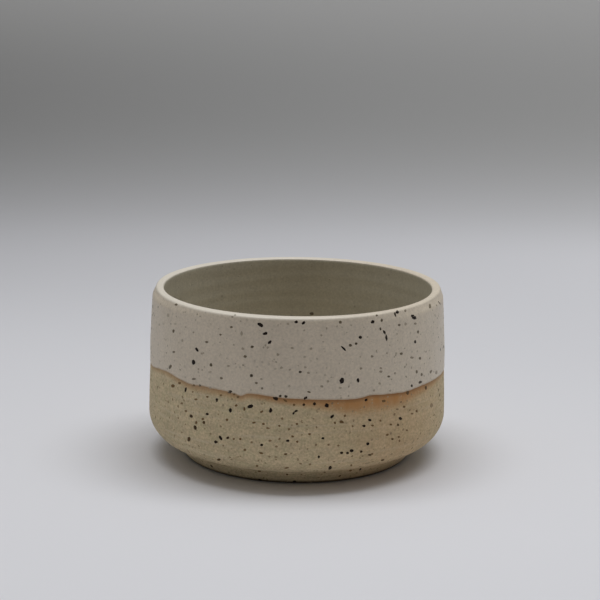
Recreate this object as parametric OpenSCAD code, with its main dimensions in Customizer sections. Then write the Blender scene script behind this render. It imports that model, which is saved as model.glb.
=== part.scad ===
// Handleless pottery mug: a thrown stoneware cup on a turned foot, with a glaze
// coat dipped over the upper wall and a second coat poured inside.
// Millimetres, +Z up, origin at the centre of the resting plane.

/* [Body] */
// Widest outside diameter, low on the bare wall
belly_d = 105; // [98:0.5:125]
// Overall height, over the glaze on the lip
height = 60; // [48:0.5:90]
// Outside diameter at the lip, over the glaze
rim_d = 102; // [96:0.5:118]
// Thickness of the lip, over the glaze
lip_t = 4.1; // [2.6:0.1:6]
// Rounding of the lip's outer edge, over the glaze
lip_outer_r = 2; // [1:0.1:3]
// Rounding of the lip's inner edge, over the glaze
lip_inner_r = 0.7; // [0.6:0.1:1.5]
// Thickness of the clay wall where it meets the inner corner
wall_t = 4.8; // [3.5:0.1:8]
// Thickness of the floor above the recess
floor_t = 5.5; // [3:0.1:9]
// Bow of the wall: 1 is straight, 2 is an even curve, higher draws in near the lip
wall_bow = 1.4; // [1.1:0.1:3]
// Radius of the corner between the wall and the underside
corner_r = 10.6; // [4:0.1:14]
// Rise of the underside from the foot towards the corner, in degrees
underside_rise = 8; // [2:0.5:30]
// Radius of the corner between the inner wall and the floor
inner_corner_r = 13; // [6:0.5:20]

/* [Foot] */
// Height at which the foot meets the underside
foot_h = 5.3; // [3:0.1:9]
// Outside diameter of the flat ring that rests on the table
foot_d = 76.8; // [60:0.2:88]
// Width of the flat ring
foot_w = 6; // [3:0.1:12]
// Outward lean of the foot's side from the vertical, in degrees
foot_flare = 36; // [0:1:45]
// Rounding of both edges of the flat ring
foot_round = 1.4; // [0.3:0.1:1.4]
// Depth of the recess inside the foot
recess_depth = 3; // [2:0.1:5]
// Radius of the corner inside the recess
recess_fillet = 1.5; // [0.5:0.1:2]

/* [Glaze] */
// Thickness of both glaze coats
glaze_t = 0.4; // [0.2:0.05:0.8]
// Height of the dip line on the mug's axis
glaze_line_z = 34.4; // [22:0.1:50]
// Slope of the dip line, in degrees
glaze_tilt = 2.3; // [0:0.1:6]
// Direction in which the dip line rises, in degrees from +X
glaze_tilt_turn = 149; // [0:1:359]
// Place on the lip's inner round where the two coats meet, in degrees from outside
coat_seam = 150; // [100:1:170]

/* [Hidden] */
arc_steps = 14;
wall_steps = 16;
lean_rounds = 8;
least_flat = 0.1;
$fn = 144;

belly_r = belly_d / 2;
floor_z = recess_depth + floor_t;

// Foot: a flat ring with rounded edges, a flared side and a recess within
foot_r = foot_d / 2;
recess_r = foot_r - foot_w - foot_round;
recess_fit = min(recess_fillet, recess_depth - foot_round - least_flat);
foot_tangent_r = foot_r + foot_round * cos(foot_flare);
foot_tangent_z = foot_round - foot_round * sin(foot_flare);
shoulder_r = foot_tangent_r + (foot_h - foot_tangent_z) * tan(foot_flare);

// Corner: it turns the underside up into the wall, within the room beside the foot
corner_fit = min(corner_r, (belly_r - shoulder_r) / (1 - sin(underside_rise)));
corner_c_r = belly_r - corner_fit;
underside_run = corner_c_r + corner_fit * sin(underside_rise) - shoulder_r;
underside_end_z = foot_h + underside_run * tan(underside_rise);
corner_c_z = underside_end_z + corner_fit * cos(underside_rise);

// Lip: flat on top, with a round on each edge that runs tangent into its wall
lip_in_fit = max(min(lip_inner_r, lip_t / 2), glaze_t + least_flat);
lip_out_fit = max(min(lip_outer_r, lip_t - lip_in_fit - least_flat), glaze_t + least_flat);
lip_in_r = lip_in_fit - glaze_t;
lip_out_r = lip_out_fit - glaze_t;
lip_in_c = [rim_d / 2 - lip_t + lip_in_fit, height - lip_in_fit];
lip_out_c = [rim_d / 2 - lip_out_fit, height - lip_out_fit];
lip_lean = lean(lean_rounds);
wall_top = lip_out_c + lip_out_r * heading(lip_lean);
wall_draw_in = belly_r - wall_top[0];
wall_h = wall_top[1] - corner_c_z;

// Well: a straight inner wall tangent to the lip and to the inner corner
inner_c = [belly_r - wall_t - inner_corner_r, floor_z + inner_corner_r];
lip_from_corner = lip_in_c - inner_c;
inner_lean = atan2(lip_from_corner[1], lip_from_corner[0])
    - acos((lip_in_r + inner_corner_r) / norm(lip_from_corner));

function heading(angle) = [cos(angle), sin(angle)];

function arc(centre, radius, from, to) =
    [for (i = [0:arc_steps]) centre + radius * heading(from + (to - from) * i / arc_steps)];

function tail(points) = [for (i = [1:len(points) - 1]) points[i]];

function reversed(points) = [for (i = [len(points) - 1:-1:0]) points[i]];

// Lean of the bowed wall where it meets the lip, closed in on by repetition
function lean(rounds) =
    rounds < 1 ? 0 : lean_after(lip_out_c + lip_out_r * heading(lean(rounds - 1)));

function lean_after(top) = atan2(wall_bow * (belly_r - top[0]), top[1] - corner_c_z);

// Outer wall: upright at the corner, drawn in towards the lip; t runs from 0 to 1
function wall_point(t) = [belly_r - wall_draw_in * pow(t, wall_bow), corner_c_z + wall_h * t];

function wall_facing(t) =
    heading(atan2(wall_bow * wall_draw_in * pow(t, wall_bow - 1), wall_h));

// The stretches of the section, each grown outwards by a coat
function wall_side(coat) =
    [for (i = [0:wall_steps]) wall_point(i / wall_steps) + coat * wall_facing(i / wall_steps)];

function lip_outside(coat) = concat(
    arc(lip_out_c, lip_out_r + coat, lip_lean, 90),
    arc(lip_in_c, lip_in_r + coat, 90, coat_seam)
);

function lip_inside(coat) = arc(lip_in_c, lip_in_r + coat, coat_seam, 180 + inner_lean);

function well_side(coat) = concat(
    arc(inner_c, inner_corner_r - coat, inner_lean, -90),
    [[0, floor_z + coat]]
);

function foot_side() = concat(
    [[0, recess_depth]],
    arc([recess_r - recess_fit, recess_depth - recess_fit], recess_fit, 90, 0),
    arc([recess_r + foot_round, foot_round], foot_round, 180, 270),
    arc([foot_r, foot_round], foot_round, -90, -foot_flare),
    [[shoulder_r, foot_h]]
);

function corner_side() =
    arc([corner_c_r, corner_c_z], corner_fit, underside_rise - 90, 0);

function outer_coat(coat) = concat(wall_side(coat), tail(lip_outside(coat)));

function liner_coat(coat) = concat(lip_inside(coat), well_side(coat));

// Space above the sloping dip line
module above_dip_line() {
    reach = belly_d + height;
    translate([0, 0, glaze_line_z])
        rotate([0, -glaze_tilt, glaze_tilt_turn])
            translate([-reach, -reach, 0])
                cube([2 * reach, 2 * reach, reach]);
}

// Fired clay: the thrown wall and floor with the turned foot
module clay_body() {
    color([0.80, 0.70, 0.53])
        rotate_extrude()
            polygon(concat(
                foot_side(),
                corner_side(),
                tail(wall_side(0)),
                tail(lip_outside(0)),
                tail(lip_inside(0)),
                well_side(0)
            ));
}

// Outer coat: from the dip line up over the lip
module outer_glaze() {
    color([0.87, 0.84, 0.78])
        intersection() {
            rotate_extrude()
                polygon(concat(outer_coat(glaze_t), reversed(outer_coat(0))));
            above_dip_line();
        }
}

// Liner: from the inside of the lip down over the floor
module liner_glaze() {
    color([0.86, 0.83, 0.76])
        rotate_extrude()
            polygon(concat(liner_coat(glaze_t), reversed(liner_coat(0))));
}

clay_body();
outer_glaze();
liner_glaze();
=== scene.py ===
"""Looks of a handleless pottery mug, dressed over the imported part.

Speckled bare clay below, a satin glaze dipped over the upper wall and the lip, and a liner
poured inside. The frame is the part's own: metres, +Z up, the viewer of the photograph at -Y.
The turned pieces are drawn in millimetres and brought to metres when they are finished, and
the grains are laid on them after that. A turn is an angle round the mug in degrees, 0 at the
front and growing towards +X.
"""

import math
import random
from functools import cache
from typing import NamedTuple

import bmesh
import bpy
from mathutils import Matrix, Vector, noise
from mathutils.bvhtree import BVHTree


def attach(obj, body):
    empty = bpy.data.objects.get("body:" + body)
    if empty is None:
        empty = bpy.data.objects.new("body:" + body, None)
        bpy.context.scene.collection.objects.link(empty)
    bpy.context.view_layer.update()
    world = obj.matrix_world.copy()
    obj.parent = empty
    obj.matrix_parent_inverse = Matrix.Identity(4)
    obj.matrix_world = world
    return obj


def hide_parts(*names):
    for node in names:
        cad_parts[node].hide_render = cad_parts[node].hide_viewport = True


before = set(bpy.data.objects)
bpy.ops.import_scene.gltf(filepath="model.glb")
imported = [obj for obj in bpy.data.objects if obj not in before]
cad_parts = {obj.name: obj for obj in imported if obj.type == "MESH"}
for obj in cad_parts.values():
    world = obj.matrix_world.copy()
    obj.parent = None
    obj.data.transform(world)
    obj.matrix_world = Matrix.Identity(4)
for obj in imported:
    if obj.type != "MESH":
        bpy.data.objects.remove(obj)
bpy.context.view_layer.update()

MM = 0.001
SEED = 41
chance = random.Random(SEED)

# Body of the mug: the part's sizes, with the foot and the lip a little closer to the photograph
BELLY_R = 52.5
FOOT_R = 38.9
FOOT_H = 5.3
FOOT_FLARE = 36
FOOT_ROUND = 1.4
FOOT_RING_W = 6.0
RECESS_DEPTH = 3.0
RECESS_FILLET = 1.5
UNDERSIDE_RISE = 8
CORNER_R = 10.6
FLOOR_Z = 8.5
INNER_CORNER_R = 13.0
INNER_CENTRE = (34.7, 21.5)
LIP_OUT_CENTRE = (49.0, 58.0)
LIP_OUT_R = 1.6
LIP_IN_CENTRE = (47.8, 59.1)
LIP_IN_R = 0.5
LIP_LEAN = 3.61
LIP_EDGE_CENTRE = (49.95, 59.15)
LIP_EDGE_R = 0.85
LIP_EDGE_TURN = 70
LIP_SHOULDER_R = 3.5
WALL_BOW = 1.4

# Glaze coats
COAT_T = 0.4
COAT_SUNK = 0.07
COAT_SEAM = 150
COAT_BLEND = 15.0
LINER_LAP = 4
LINER_THIN = 0.9
EDGE_THIN = 0.45
EDGE_FULL = 7.0
LINE_Z = 34.4
LINE_RISE_X = -0.0344
LINE_RISE_Y = 0.0207
LINE_WAVER = 0.09
LINE_WAVER_PER_MM = 0.35
LINE_RIPPLE = 0.06
LINE_RIPPLE_PER_MM = 0.9
LINE_RIPPLE_LAYER = 5

# Fineness of the turned meshes; the clay's is finest where the dipped edge crosses it
FINE_FROM = 28
FINE_TO = 40
MERGED_WITHIN = 0.001
CLAY_STEPS = 320
COAT_STEPS = 480
LINER_STEPS = 256

# Marks of the hands and of the wheel
RING_PITCH = 3.4
RING_DEPTH = 0.02
RING_WAVER = 0.5
RING_WAVER_H = 9
DENT_DEPTH = 0.045
DENT_W = 24
DENT_H = 15
WELL_RING_PITCH = 5.2
WELL_RING_DEPTH = 0.1
WELL_RING_WAVER = 0.4
MARKS_FADE_H = 4
FLOOR_BAND = 2
AXIS_CLEAR = 1
LIP_SETTLE = 0.03
LIP_WAVE = 0.08
LIP_WAVE_W = 30
LIP_WAVE_H = 6
LIP_WAVE_LAYER = 3
LIP_SHAPED_FROM = 56.7
LIP_SHAPED_TO = 59.4
LIP_TIP = 0.08
LIP_TIP_TURN = -55
LIP_TIP_SPREAD = 36

# Painted contact shadow: a dark line on the foot's rounded edge where it meets the table
FOOT_EDGE_IN = 0.6
FOOT_EDGE_OUT = 0.3
FOOT_EDGE_FULL_Z = 0.45
FOOT_EDGE_GONE_Z = 1.3


class Run(NamedTuple):
    """A place where the dipped edge hangs lower, or rises where the drop is below zero."""

    turn: float
    drop: float
    spread: float


class Thin(NamedTuple):
    """A place where the lip is thinner, rounded off on its outside."""

    turn: float
    spare: float
    spread: float


class Blush(NamedTuple):
    """A place below the dipped edge where the fire has coloured the clay orange."""

    turn: float
    spread: float
    strength: float
    reach: float


RUNS = [
    Run(turn=-78, drop=2.6, spread=9.0),
    Run(turn=-56, drop=-0.4, spread=3.5),
    Run(turn=-51.5, drop=0.7, spread=5.0),
    Run(turn=-43, drop=0.85, spread=3.2),
    Run(turn=-33, drop=0.45, spread=5.0),
    Run(turn=-22.8, drop=0.6, spread=2.4),
    Run(turn=-20.6, drop=0.65, spread=1.1),
    Run(turn=-14, drop=-0.3, spread=4.0),
    Run(turn=8, drop=0.3, spread=14.0),
    Run(turn=21, drop=0.3, spread=5.0),
    Run(turn=28, drop=-0.55, spread=2.6),
    Run(turn=45, drop=0.5, spread=5.0),
    Run(turn=70, drop=0.3, spread=9.0),
    Run(turn=86, drop=0.7, spread=7.0),
    Run(turn=121, drop=0.8, spread=3.2),
    Run(turn=150, drop=-0.35, spread=9.0),
    Run(turn=171, drop=0.6, spread=4.0),
    Run(turn=-162, drop=-0.4, spread=8.0),
    Run(turn=-133, drop=0.9, spread=2.4),
    Run(turn=-104, drop=0.4, spread=7.0),
]
THINS = [
    Thin(turn=66, spare=1.0, spread=22),
    Thin(turn=-76, spare=0.95, spread=22),
]
BLUSHES = [
    Blush(turn=28, spread=15, strength=0.85, reach=4.2),
    Blush(turn=56, spread=9, strength=0.35, reach=0.6),
    Blush(turn=-6, spread=11, strength=0.5, reach=0.3),
    Blush(turn=-38, spread=12, strength=0.2, reach=0.9),
    Blush(turn=118, spread=22, strength=0.35, reach=1.0),
    Blush(turn=172, spread=26, strength=0.6, reach=1.8),
    Blush(turn=-122, spread=20, strength=0.4, reach=1.2),
]
BLUSH_EVERYWHERE = 0.3
BLUSH_REACH = 1.4
BLUSH_FULL_TO = 0.3
BLUSH_GONE_AT = 1.4
TOAST_TURN = 42
TOAST_SPREAD = 20
TOAST_STRENGTH = 0.3


class Grain(NamedTuple):
    """A dark grain as the photograph shows it: place and size in its pixels, lean in degrees,
    falling to the right where it is above zero, and darkness up to 1."""

    across: float
    down: float
    long: float
    wide: float
    lean: float = 0
    dark: float = 1.0


GLAZE_GRAINS = [
    Grain(196.9, 349.7, 4.5, 2.5, lean=60),
    Grain(193.7, 362.2, 5.0, 3.3, lean=90),
    Grain(173.4, 331.0, 3.2, 2.2, lean=90, dark=0.75),
    Grain(220.5, 334.7, 2.2, 1.9, dark=0.7),
    Grain(231.4, 327.1, 2.5, 2.2, dark=0.65),
    Grain(206.6, 342.1, 3.0, 2.0, dark=0.7),
    Grain(211.0, 364.7, 3.5, 2.5, lean=90, dark=0.8),
    Grain(173.7, 352.1, 2.5, 2.2, dark=0.55),
    Grain(170.1, 367.0, 4.0, 2.5, lean=-65, dark=0.75),
    Grain(245.2, 356.6, 3.0, 2.6, dark=0.65),
    Grain(221.1, 378.2, 3.0, 2.6, dark=0.55),
    Grain(193.7, 379.1, 4.0, 2.0, dark=0.55),
    Grain(176.1, 304.5, 3.0, 2.0, dark=0.6),
    Grain(235.1, 315.0, 2.0, 1.0, dark=0.6),
    Grain(232.3, 316.9, 2.0, 1.0, dark=0.6),
    Grain(260.5, 324.9, 6.5, 3.5, lean=35),
    Grain(265.3, 333.6, 4.5, 3.0, lean=-10),
    Grain(269.7, 342.3, 4.2, 2.8, lean=-40),
    Grain(296.2, 321.9, 3.5, 2.8, lean=-15),
    Grain(303.5, 322.9, 4.3, 2.5, lean=-45),
    Grain(343.5, 348.5, 6.4, 1.9, lean=43),
    Grain(341.6, 380.8, 5.5, 4.5, lean=100),
    Grain(252.1, 346.8, 3.0, 2.7, dark=0.8),
    Grain(251.4, 375.7, 3.0, 2.7, dark=0.9),
    Grain(256.3, 383.0, 2.6, 2.0, dark=0.6),
    Grain(262.1, 388.4, 2.2, 2.0, dark=0.6),
    Grain(300.2, 371.9, 3.0, 2.2, dark=0.9),
    Grain(309.0, 392.0, 3.0, 1.8, lean=20, dark=0.7),
    Grain(340.5, 322.2, 3.0, 2.8, dark=0.75),
    Grain(413.4, 317.0, 6.5, 4.0, lean=45),
    Grain(397.1, 312.0, 3.5, 3.0),
    Grain(395.1, 314.3, 5.0, 1.5, lean=70, dark=0.9),
    Grain(372.6, 322.0, 3.6, 3.3),
    Grain(381.7, 320.4, 3.0, 2.2, lean=90, dark=0.8),
    Grain(376.7, 315.4, 2.3, 2.1, dark=0.75),
    Grain(380.4, 329.0, 3.2, 1.6, lean=80, dark=0.85),
    Grain(384.2, 332.1, 4.2, 2.2, lean=65, dark=0.95),
    Grain(386.4, 337.7, 6.0, 2.0, lean=88, dark=0.95),
    Grain(360.3, 337.3, 3.6, 3.2),
    Grain(356.1, 343.6, 2.8, 2.5, dark=0.85),
    Grain(350.3, 345.1, 3.0, 2.7, dark=0.8),
    Grain(399.3, 325.0, 2.6, 2.1, dark=0.7),
    Grain(418.1, 331.7, 3.0, 2.0, lean=90, dark=0.7),
    Grain(415.1, 341.9, 3.0, 2.2, lean=90, dark=0.95),
    Grain(401.3, 353.7, 3.0, 2.5, dark=0.7),
    Grain(420.0, 358.3, 3.0, 2.2, lean=90, dark=0.65),
    Grain(388.7, 376.5, 2.7, 2.0, dark=0.75),
    Grain(358.1, 380.5, 4.2, 2.8, lean=90),
    Grain(411.8, 385.7, 3.0, 2.2, lean=90, dark=0.9),
    Grain(420.3, 382.3, 3.3, 2.5, lean=-40, dark=0.85),
    Grain(416.7, 371.8, 3.5, 2.0, lean=90, dark=0.6),
    Grain(421.8, 374.5, 3.0, 1.8, lean=90, dark=0.6),
    Grain(431.0, 371.5, 3.4, 2.0, lean=-60, dark=0.5),
    Grain(280.1, 396.1, 3.0, 2.8, dark=0.85),
    Grain(285.8, 396.6, 3.0, 2.8, dark=0.9),
    Grain(230.0, 391.8, 4.0, 3.0, dark=0.9),
    Grain(199.7, 385.5, 2.5, 2.2, dark=0.65),
    Grain(327.9, 381.4, 2.6, 2.3, dark=0.35),
    Grain(321.8, 386.4, 2.6, 2.3, dark=0.4),
    Grain(308.5, 372.8, 2.6, 2.2, dark=0.4),
    Grain(305.3, 367.4, 2.5, 2.2, dark=0.35),
    Grain(281.4, 367.7, 2.6, 2.3, dark=0.35),
    Grain(292.2, 348.1, 2.6, 2.3, dark=0.35),
    Grain(277.8, 354.6, 2.6, 2.4, dark=0.4),
    Grain(311.0, 348.6, 2.6, 2.4, dark=0.35),
    Grain(304.6, 356.9, 2.4, 2.2, dark=0.3),
    Grain(288.0, 323.7, 2.8, 2.4, dark=0.35),
    Grain(275.5, 369.0, 2.4, 2.1, dark=0.25),
    Grain(325.0, 375.0, 2.4, 2.1, dark=0.25),
    Grain(289.0, 386.2, 2.5, 2.2, dark=0.3),
    Grain(340.3, 388.1, 2.8, 2.2, dark=0.3),
    Grain(380.9, 368.1, 2.6, 2.1, dark=0.4),
    Grain(380.9, 371.6, 2.8, 2.2, dark=0.45),
    Grain(372.1, 356.5, 2.6, 2.3, dark=0.5),
    Grain(361.0, 368.4, 2.5, 2.2, dark=0.45),
    Grain(379.7, 383.5, 2.6, 2.4, dark=0.35),
    Grain(374.0, 390.4, 2.5, 2.2, dark=0.35),
    Grain(390.2, 390.7, 2.4, 2.1, dark=0.3),
    Grain(405.5, 323.8, 3.0, 2.2, lean=90, dark=0.35),
    Grain(405.4, 310.6, 2.8, 2.0, lean=90, dark=0.45),
    Grain(430.0, 306.2, 4.4, 2.2, lean=90, dark=0.55),
    Grain(415.4, 323.5, 2.6, 2.2, dark=0.45),
    Grain(436.4, 372.5, 3.4, 2.2, lean=90, dark=0.4),
    Grain(167.9, 315.3, 3.6, 2.4, lean=90, dark=0.3),
    Grain(182.2, 340.5, 2.8, 2.2, lean=90, dark=0.3),
    Grain(159.2, 324.5, 2.8, 2.2, dark=0.25),
    Grain(163.4, 323.6, 2.6, 2.0, dark=0.2),
    Grain(175.2, 323.9, 2.6, 2.0, dark=0.2),
    Grain(242.8, 348.8, 2.6, 2.4, dark=0.35),
    Grain(210.0, 372.0, 2.8, 2.4, dark=0.25),
    Grain(241.5, 333.2, 4.0, 2.5, lean=90, dark=0.35),
    Grain(228.3, 366.0, 3.0, 2.4, dark=0.35),
    Grain(411.8, 357.6, 3.2, 2.4, dark=0.45),
    Grain(210.3, 387.6, 2.4, 2.0, dark=0.35),
]
CLAY_GRAINS = [
    Grain(275.9, 398.6, 5.0, 3.5, lean=25, dark=0.95),
    Grain(305.5, 398.1, 4.2, 2.5, lean=-30, dark=0.95),
    Grain(285.2, 400.6, 4.5, 1.8, lean=35, dark=0.7),
    Grain(234.2, 394.2, 2.1, 2.0, dark=0.6),
    Grain(237.9, 397.2, 2.6, 2.3, dark=0.55),
    Grain(193.7, 385.3, 2.5, 2.2, dark=0.55),
    Grain(407.6, 392.9, 3.6, 2.8, lean=90, dark=0.8),
    Grain(425.9, 387.8, 4.0, 2.0, lean=90, dark=0.8),
    Grain(250.6, 406.2, 5.8, 3.4, lean=-12),
    Grain(270.7, 410.4, 5.0, 3.2, lean=-80),
    Grain(296.2, 411.0, 3.4, 2.0, lean=-15),
    Grain(293.6, 413.2, 3.2, 1.8, lean=-65),
    Grain(326.8, 405.6, 4.2, 4.0, lean=40),
    Grain(314.4, 403.8, 3.4, 3.0, dark=0.95),
    Grain(303.8, 404.8, 2.8, 2.4, dark=0.9),
    Grain(294.1, 404.9, 2.4, 2.2, dark=0.65),
    Grain(261.7, 411.7, 3.2, 2.0, lean=-35, dark=0.75),
    Grain(332.1, 416.5, 4.5, 2.6, lean=-35),
    Grain(341.6, 421.9, 4.0, 3.0, dark=0.8),
    Grain(334.9, 422.8, 2.3, 2.1, dark=0.75),
    Grain(230.2, 410.4, 4.5, 3.0, lean=90),
    Grain(216.8, 400.0, 3.5, 2.5, lean=90, dark=0.95),
    Grain(185.6, 389.7, 4.6, 2.2, lean=100, dark=0.95),
    Grain(173.0, 386.0, 3.5, 3.0, dark=0.75),
    Grain(179.5, 383.0, 2.5, 2.2, dark=0.6),
    Grain(207.2, 396.8, 2.5, 2.0, dark=0.65),
    Grain(220.9, 395.3, 2.5, 1.8, dark=0.6),
    Grain(236.1, 405.5, 2.5, 2.3, dark=0.75),
    Grain(244.4, 409.0, 4.0, 1.8, lean=90, dark=0.75),
    Grain(207.3, 414.1, 2.8, 2.3, dark=0.95),
    Grain(191.1, 416.3, 3.5, 2.8, lean=45, dark=0.9),
    Grain(202.8, 419.0, 2.5, 2.2, dark=0.65),
    Grain(203.9, 422.4, 3.0, 2.4, lean=60, dark=0.85),
    Grain(196.2, 422.7, 3.0, 2.2, lean=90, dark=0.75),
    Grain(195.0, 427.5, 4.5, 2.8, lean=70, dark=0.9),
    Grain(227.0, 419.7, 2.8, 2.4, dark=0.65),
    Grain(188.9, 438.9, 4.5, 3.2, lean=90, dark=0.85),
    Grain(220.5, 438.0, 5.0, 2.6, lean=50),
    Grain(215.8, 442.0, 3.8, 2.8, lean=15, dark=0.95),
    Grain(227.9, 437.8, 2.9, 2.6, dark=0.9),
    Grain(233.7, 439.1, 2.2, 2.0, dark=0.6),
    Grain(240.2, 439.0, 2.3, 2.1, dark=0.7),
    Grain(244.8, 449.8, 2.6, 2.3, dark=0.6),
    Grain(218.9, 459.7, 3.5, 2.0, dark=0.85),
    Grain(195.8, 399.4, 3.2, 2.0, dark=0.55),
    Grain(181.6, 403.3, 2.5, 2.2, dark=0.5),
    Grain(185.9, 411.0, 2.5, 2.3, dark=0.55),
    Grain(253.9, 422.7, 3.3, 1.8, lean=-8, dark=0.75),
    Grain(263.4, 423.8, 2.8, 2.0, dark=0.75),
    Grain(267.8, 428.1, 3.5, 1.6, lean=10, dark=0.65),
    Grain(279.4, 425.8, 2.6, 2.0, dark=0.75),
    Grain(297.0, 424.0, 2.6, 2.2, dark=0.65),
    Grain(309.4, 434.2, 2.6, 2.0, dark=0.65),
    Grain(292.5, 436.4, 2.4, 2.0, dark=0.7),
    Grain(287.7, 440.8, 3.2, 2.4),
    Grain(297.3, 441.7, 2.4, 2.1, dark=0.75),
    Grain(261.7, 445.0, 2.8, 2.6, dark=0.95),
    Grain(270.2, 440.7, 2.8, 2.0, dark=0.5),
    Grain(261.1, 453.1, 3.6, 2.0, lean=8, dark=0.75),
    Grain(285.5, 454.2, 3.4, 2.0, dark=0.8),
    Grain(322.9, 438.2, 2.7, 2.5),
    Grain(328.5, 444.8, 2.0, 1.6, dark=0.55),
    Grain(338.3, 445.6, 2.1, 1.9, dark=0.55),
    Grain(341.6, 452.8, 3.2, 2.4, dark=0.95),
    Grain(318.9, 456.8, 2.8, 2.2, lean=90, dark=0.95),
    Grain(330.1, 467.9, 4.3, 3.4, lean=-40, dark=0.95),
    Grain(286.5, 467.9, 4.5, 1.6, lean=-10, dark=0.75),
    Grain(256.9, 465.9, 3.0, 2.0, dark=0.55),
    Grain(366.2, 400.1, 3.2, 2.6, lean=-30, dark=0.95),
    Grain(383.9, 401.0, 3.6, 2.6, dark=0.7),
    Grain(404.2, 406.7, 2.4, 2.0, dark=0.75),
    Grain(401.2, 402.0, 2.0, 1.9, dark=0.5),
    Grain(397.3, 409.2, 2.4, 1.8, dark=0.5),
    Grain(416.7, 411.0, 2.6, 2.0, lean=90, dark=0.65),
    Grain(412.0, 413.6, 2.4, 2.0, dark=0.55),
    Grain(400.4, 418.5, 3.6, 2.8, lean=30, dark=0.95),
    Grain(369.7, 420.0, 3.3, 2.4, lean=20, dark=0.95),
    Grain(380.4, 420.6, 2.1, 1.9, dark=0.6),
    Grain(344.9, 415.8, 2.4, 2.2, dark=0.7),
    Grain(363.9, 426.0, 3.2, 2.2, dark=0.95),
    Grain(372.5, 425.6, 2.6, 1.8, dark=0.7),
    Grain(352.6, 426.3, 2.0, 1.9, dark=0.55),
    Grain(390.9, 424.4, 2.2, 2.0, dark=0.75),
    Grain(398.0, 425.0, 2.5, 2.3, dark=0.85),
    Grain(406.9, 430.2, 2.3, 2.0, dark=0.55),
    Grain(387.3, 434.8, 2.5, 2.2, dark=0.7),
    Grain(398.8, 436.9, 2.3, 2.0, dark=0.65),
    Grain(392.4, 439.0, 2.3, 2.1, dark=0.8),
    Grain(399.5, 440.7, 2.4, 1.8, lean=90, dark=0.6),
    Grain(367.9, 443.9, 3.0, 2.8),
    Grain(351.5, 450.8, 3.8, 2.8),
    Grain(347.8, 453.0, 3.0, 2.4, dark=0.95),
    Grain(361.2, 451.6, 2.5, 2.3, dark=0.9),
    Grain(369.7, 454.9, 3.0, 2.0, dark=0.85),
    Grain(372.1, 454.0, 2.1, 1.9, dark=0.75),
    Grain(382.6, 460.1, 3.4, 1.8, lean=-15, dark=0.8),
    Grain(351.4, 465.3, 2.1, 1.9, dark=0.6),
    Grain(259.5, 471.0, 3.4, 2.0, dark=0.75),
    Grain(350.5, 470.5, 3.0, 1.8, lean=-15, dark=0.6),
    Grain(431.6, 405.2, 4.0, 3.0, lean=90, dark=0.4),
    Grain(235.0, 458.2, 8.0, 2.2, lean=-20, dark=0.2),
    Grain(240.5, 460.4, 10.0, 1.6, lean=8, dark=0.14),
    Grain(351.0, 462.6, 7.0, 1.3, lean=-6, dark=0.2),
    Grain(363.5, 461.4, 8.0, 1.3, lean=-10, dark=0.2),
    Grain(367.5, 463.2, 5.0, 1.2, lean=-10, dark=0.3),
]
LINER_GRAINS = [
    Grain(311.6, 313.7, 4.5, 2.6, dark=0.8),
]

# Camera, fitted to the rim, the dipped line, the foot and the sides
FRAME_PX = 600
FOCAL_PX = 1804.4
SENSOR_MM = 36
CAMERA_PLACE = (0, -0.62045, 0.19499)
CAMERA_DOWN = 12.754
CAMERA_ROLL = 0.637
CAMERA_YAW = 0.07

camera_lens = bpy.data.cameras.new("photo_camera")
camera_lens.sensor_width = SENSOR_MM
camera_lens.lens = FOCAL_PX / FRAME_PX * SENSOR_MM
camera = bpy.data.objects.new("photo_camera", camera_lens)
camera.matrix_world = (
    Matrix.Translation(CAMERA_PLACE)
    @ Matrix.Rotation(math.radians(-CAMERA_YAW), 4, "Z")
    @ Matrix.Rotation(math.radians(90 - CAMERA_DOWN), 4, "X")
    @ Matrix.Rotation(math.radians(CAMERA_ROLL), 4, "Z")
)
bpy.context.scene.collection.objects.link(camera)
bpy.context.scene.camera = camera


def tone(red, green, blue):
    """A colour written in display values from 0 to 255, as the shader wants it."""
    shares = [value / 255 for value in (red, green, blue)]
    return tuple(s / 12.92 if s <= 0.04045 else ((s + 0.055) / 1.055) ** 2.4 for s in shares)


def opaque(colour):
    return (*colour, 1.0)


def bell(distance, spread):
    return math.exp(-0.5 * (distance / spread) ** 2)


def eased(value, low, high):
    """0 at low, 1 at high, smooth between."""
    t = min(max((value - low) / (high - low), 0), 1)
    return t * t * (3 - 2 * t)


def on_circle(centre, radius, degrees):
    angle = math.radians(degrees)
    return centre[0] + radius * math.cos(angle), centre[1] + radius * math.sin(angle)


def turn_of(place):
    return math.degrees(math.atan2(place.x, -place.y))


def turn_between(one, other):
    return (one - other + 180) % 360 - 180


# Points of the section that follow from the sizes
foot_tip = on_circle((FOOT_R, FOOT_ROUND), FOOT_ROUND, -FOOT_FLARE)
shoulder_r = foot_tip[0] + (FOOT_H - foot_tip[1]) * math.tan(math.radians(FOOT_FLARE))
recess_r = FOOT_R - FOOT_RING_W - FOOT_ROUND
rise = math.radians(UNDERSIDE_RISE)
underside_end_r = BELLY_R - CORNER_R + CORNER_R * math.sin(rise)
underside_end_z = FOOT_H + (underside_end_r - shoulder_r) * math.tan(rise)
corner_centre = (BELLY_R - CORNER_R, underside_end_z + CORNER_R * math.cos(rise))
wall_top = on_circle(LIP_OUT_CENTRE, LIP_OUT_R, LIP_LEAN)
wall_h = wall_top[1] - corner_centre[1]
lip_z = LIP_OUT_CENTRE[1] + LIP_OUT_R
lip_middle_r = (LIP_OUT_CENTRE[0] + LIP_IN_CENTRE[0]) / 2
lip_shoulder_centre = on_circle(LIP_EDGE_CENTRE, LIP_EDGE_R - LIP_SHOULDER_R, 90 - LIP_EDGE_TURN)
lip_shoulder_foot = on_circle(lip_shoulder_centre, LIP_SHOULDER_R, LIP_LEAN)
lip_run = LIP_IN_CENTRE[0] - INNER_CENTRE[0]
lip_rise = LIP_IN_CENTRE[1] - INNER_CENTRE[1]
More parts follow.
